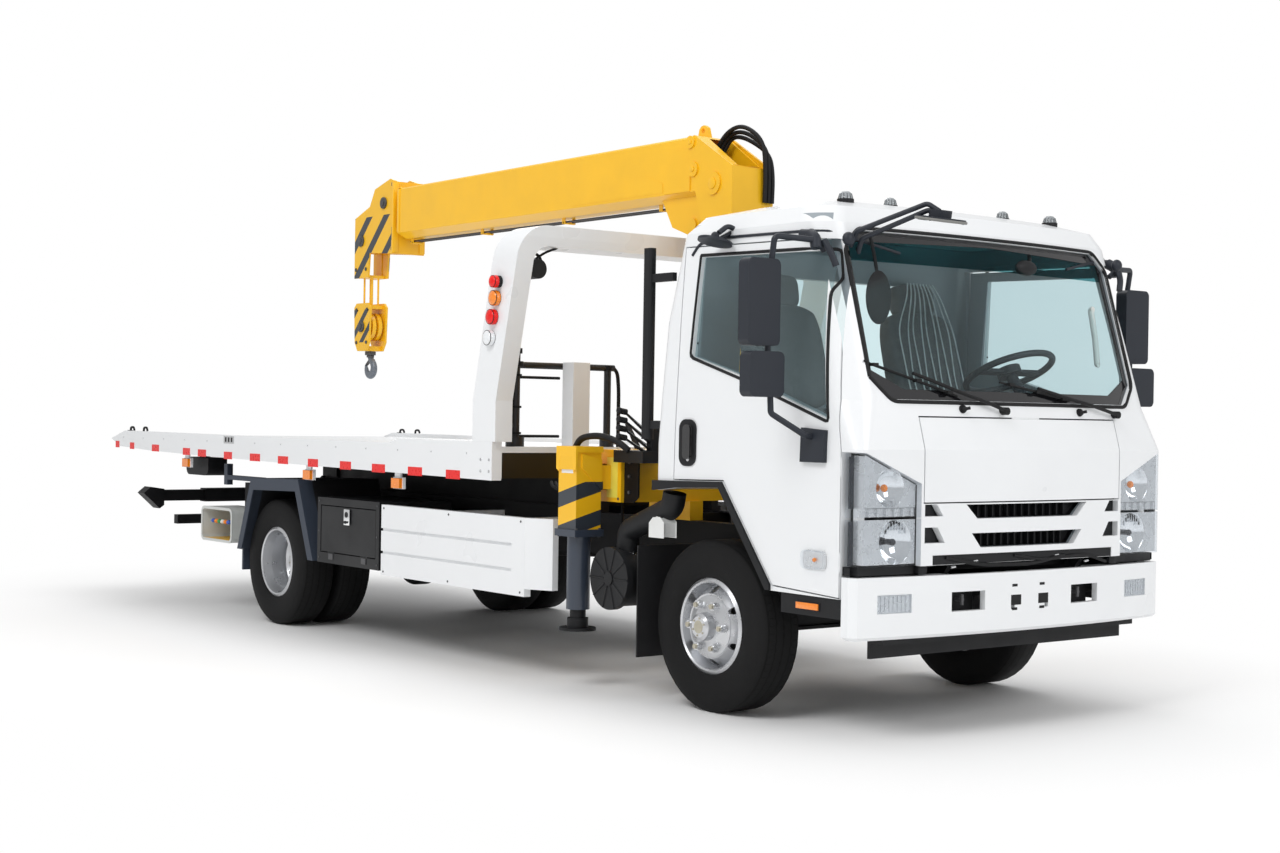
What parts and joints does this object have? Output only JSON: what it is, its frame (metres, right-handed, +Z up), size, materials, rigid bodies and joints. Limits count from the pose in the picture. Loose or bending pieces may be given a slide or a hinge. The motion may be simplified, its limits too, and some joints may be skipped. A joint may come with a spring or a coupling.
{
  "type": "tow truck",
  "caption": "Flatbed tow truck with tilting cab, slewing telescopic crane, outriggers, sliding bed and rear wheel lift.",
  "frame": {"origin": "centre of the bounding box on the ground", "axes": "+X forward, +Y to the truck's left, +Z up"},
  "size_m": [7.9698, 2.704, 2.96],
  "materials": {
    "white_paint": "gloss",
    "crane_yellow": "gloss",
    "chassis_paint": "satin",
    "black_paint": "gloss",
    "box_steel": "satin",
    "engine_metal": "matte",
    "black_plastic": "matte",
    "grey_plastic": "satin",
    "dark_plastic": "matte",
    "black_rubber": "matte",
    "tyre": "matte",
    "wheel_silver": "satin",
    "glass": "clear",
    "lamp_lens": "clear",
    "seat_fabric": "matte",
    "brushed_steel": "brushed",
    "hook_grey": "satin"
  },
  "bodies": {
    "chassis": {"frame_rails": "chassis_paint", "axles": "chassis_paint", "leaf_springs": "chassis_paint", "engine": "engine_metal", "front_bumper": "white_paint", "air_dam": "black_plastic", "fuel_tank": "chassis_paint", "toolboxes": "box_steel", "side_guards": "white_paint", "mudguards": "black_rubber", "control_box": "grey_plastic", "control_levers": "black_plastic", "crane_base": "crane_yellow", "air_intake": "black_plastic"},
    "knuckle_right": {"knuckle_right": "chassis_paint"},
    "knuckle_left": {"knuckle_left": "chassis_paint"},
    "wheel_front_right": {"tyre_front_right": "tyre", "rim_front_right": "wheel_silver"},
    "wheel_front_left": {"tyre_front_left": "tyre", "rim_front_left": "wheel_silver"},
    "wheels_rear_right": {"tyres_rear_right": "tyre", "rims_rear_right": "wheel_silver"},
    "wheels_rear_left": {"tyres_rear_left": "tyre", "rims_rear_left": "wheel_silver"},
    "cab": {"cab_shell": "white_paint", "cab_glass": "glass", "cab_lamps": "lamp_lens", "cab_trim": "black_plastic", "cab_seats": "seat_fabric", "cab_dash": "dark_plastic", "snorkel": "black_plastic", "cab_mirrors": "black_plastic"},
    "front_lid": {"front_lid": "white_paint"},
    "door_right": {"door_right": "white_paint", "door_glass_right": "glass", "mirrors_right": "grey_plastic"},
    "door_left": {"door_left": "white_paint", "door_glass_left": "glass", "mirrors_left": "grey_plastic"},
    "toolbox_door_right": {"toolbox_door_right": "box_steel"},
    "toolbox_door_left": {"toolbox_door_left": "box_steel"},
    "tilt_frame": {"tilt_frame": "chassis_paint"},
    "bed": {"bed_deck": "white_paint", "bed_arch": "white_paint", "bed_lamps": "dark_plastic", "bed_stand": "black_paint"},
    "lift_sleeve": {"lift_sleeve": "black_paint"},
    "wheel_lift": {"wheel_lift": "black_paint"},
    "outrigger_right": {"outrigger_right": "crane_yellow"},
    "outrigger_left": {"outrigger_left": "crane_yellow"},
    "jack_right": {"jack_right": "brushed_steel"},
    "jack_left": {"jack_left": "brushed_steel"},
    "crane_column": {"crane_column": "crane_yellow"},
    "boom": {"boom_base": "crane_yellow"},
    "boom_middle": {"boom_middle": "crane_yellow"},
    "boom_tip": {"boom_tip": "crane_yellow"},
    "hook_block": {"hook_block": "crane_yellow", "hook": "hook_grey"},
    "luff_barrel": {"luff_barrel": "crane_yellow"},
    "luff_rod": {"luff_rod": "brushed_steel"}
  },
  "joints": [
    {"name": "steer_right", "type": "hinge", "parent": "chassis", "child": "knuckle_right", "pos_m": [2.7401, -0.735, 0.398], "axis": [0, 0, 1], "range_deg": [-35, 35]},
    {"name": "steer_left", "type": "hinge", "parent": "chassis", "child": "knuckle_left", "pos_m": [2.7401, 0.735, 0.398], "axis": [0, 0, 1], "range_deg": [-38, 38]},
    {"name": "wheel_front_right_spin", "type": "hinge", "parent": "knuckle_right", "child": "wheel_front_right", "pos_m": [2.7401, -0.84, 0.398], "axis": [0, 1, 0], "continuous": true},
    {"name": "wheel_front_left_spin", "type": "hinge", "parent": "knuckle_left", "child": "wheel_front_left", "pos_m": [2.7401, 0.84, 0.398], "axis": [0, 1, 0], "continuous": true},
    {"name": "wheels_rear_right_spin", "type": "hinge", "parent": "chassis", "child": "wheels_rear_right", "pos_m": [-1.4349, -0.825, 0.398], "axis": [0, 1, 0], "continuous": true},
    {"name": "wheels_rear_left_spin", "type": "hinge", "parent": "chassis", "child": "wheels_rear_left", "pos_m": [-1.4349, 0.825, 0.398], "axis": [0, 1, 0], "continuous": true},
    {"name": "cab_tilt", "type": "hinge", "parent": "chassis", "child": "cab", "pos_m": [3.7621, 0, 0.766], "axis": [0, 1, 0], "range_deg": [0, 45]},
    {"name": "lid_open", "type": "hinge", "parent": "cab", "child": "front_lid", "pos_m": [3.7876, 0, 1.376], "axis": [0, -1, 0], "range_deg": [0, 80]},
    {"name": "door_right_open", "type": "hinge", "parent": "cab", "child": "door_right", "pos_m": [3.6711, -1.017, 1.4], "axis": [0, 0, 1], "range_deg": [0, 70]},
    {"name": "door_left_open", "type": "hinge", "parent": "cab", "child": "door_left", "pos_m": [3.6711, 1.017, 1.4], "axis": [0, 0, -1], "range_deg": [0, 70]},
    {"name": "toolbox_right_open", "type": "hinge", "parent": "chassis", "child": "toolbox_door_right", "pos_m": [-0.3879, -1.119, 0.515], "axis": [1, 0, 0], "range_deg": [0, 95]},
    {"name": "toolbox_left_open", "type": "hinge", "parent": "chassis", "child": "toolbox_door_left", "pos_m": [-0.3879, 1.119, 0.515], "axis": [-1, 0, 0], "range_deg": [0, 95]},
    {"name": "outrigger_right_out", "type": "slide", "parent": "chassis", "child": "outrigger_right", "axis": [0, -1, 0], "range_m": [0, 0.5]},
    {"name": "outrigger_left_out", "type": "slide", "parent": "chassis", "child": "outrigger_left", "axis": [0, 1, 0], "range_m": [0, 0.5]},
    {"name": "jack_right_down", "type": "slide", "parent": "outrigger_right", "child": "jack_right", "axis": [0, 0, -1], "range_m": [0, 0.28]},
    {"name": "jack_left_down", "type": "slide", "parent": "outrigger_left", "child": "jack_left", "axis": [0, 0, -1], "range_m": [0, 0.28]},
    {"name": "crane_slew", "type": "hinge", "parent": "chassis", "child": "crane_column", "pos_m": [1.7831, 0, 1.262], "axis": [0, 0, 1], "continuous": true},
    {"name": "boom_luff", "type": "hinge", "parent": "crane_column", "child": "boom", "pos_m": [1.7601, 0, 2.6], "axis": [0, 1, 0], "range_deg": [0, 60]},
    {"name": "luff_barrel_turn", "type": "hinge", "parent": "crane_column", "child": "luff_barrel", "pos_m": [1.6301, 0, 1.44], "axis": [0, 1, 0], "range_deg": [-2, 1]},
    {"name": "luff_rod_out", "type": "slide", "parent": "luff_barrel", "child": "luff_rod", "axis": [-0.1159, 0, 0.9933], "range_m": [0, 0.33]},
    {"name": "boom_middle_out", "type": "slide", "parent": "boom", "child": "boom_middle", "axis": [-1, 0, 0], "range_m": [0, 2.4]},
    {"name": "boom_tip_out", "type": "slide", "parent": "boom_middle", "child": "boom_tip", "axis": [-1, 0, 0], "range_m": [0, 2.4]},
    {"name": "hook_swing", "type": "hinge", "parent": "boom_tip", "child": "hook_block", "pos_m": [-2.1499, 0, 2.56], "axis": [0, 1, 0], "range_deg": [-60, 0]},
    {"name": "bed_slide", "type": "slide", "parent": "tilt_frame", "child": "bed", "axis": [-1, 0, 0], "range_m": [0, 2.6]},
    {"name": "bed_tilt", "type": "hinge", "parent": "chassis", "child": "tilt_frame", "pos_m": [-1.9599, 0, 0.88], "axis": [0, -1, 0], "range_deg": [0, 7.1]},
    {"name": "lift_lower", "type": "hinge", "parent": "chassis", "child": "lift_sleeve", "pos_m": [-2.9099, 0, 0.718], "axis": [0, -1, 0], "range_deg": [0, 12]},
    {"name": "lift_out", "type": "slide", "parent": "lift_sleeve", "child": "wheel_lift", "axis": [-1, 0, 0], "range_m": [0, 0.55]}
  ],
  "couplings": [
    {"joint": "steer_left", "follows": "steer_right", "ratio": 1},
    {"joint": "luff_barrel_turn", "follows": "boom_luff", "ratio": -0.01192},
    {"joint": "luff_rod_out", "follows": "boom_luff", "m_per_rad": 0.29951},
    {"joint": "boom_tip_out", "follows": "boom_middle_out", "ratio": 1},
    {"joint": "hook_swing", "follows": "boom_luff", "ratio": -1},
    {"joint": "bed_tilt", "follows": "bed_slide", "rad_per_m": 0.04699}
  ]
}
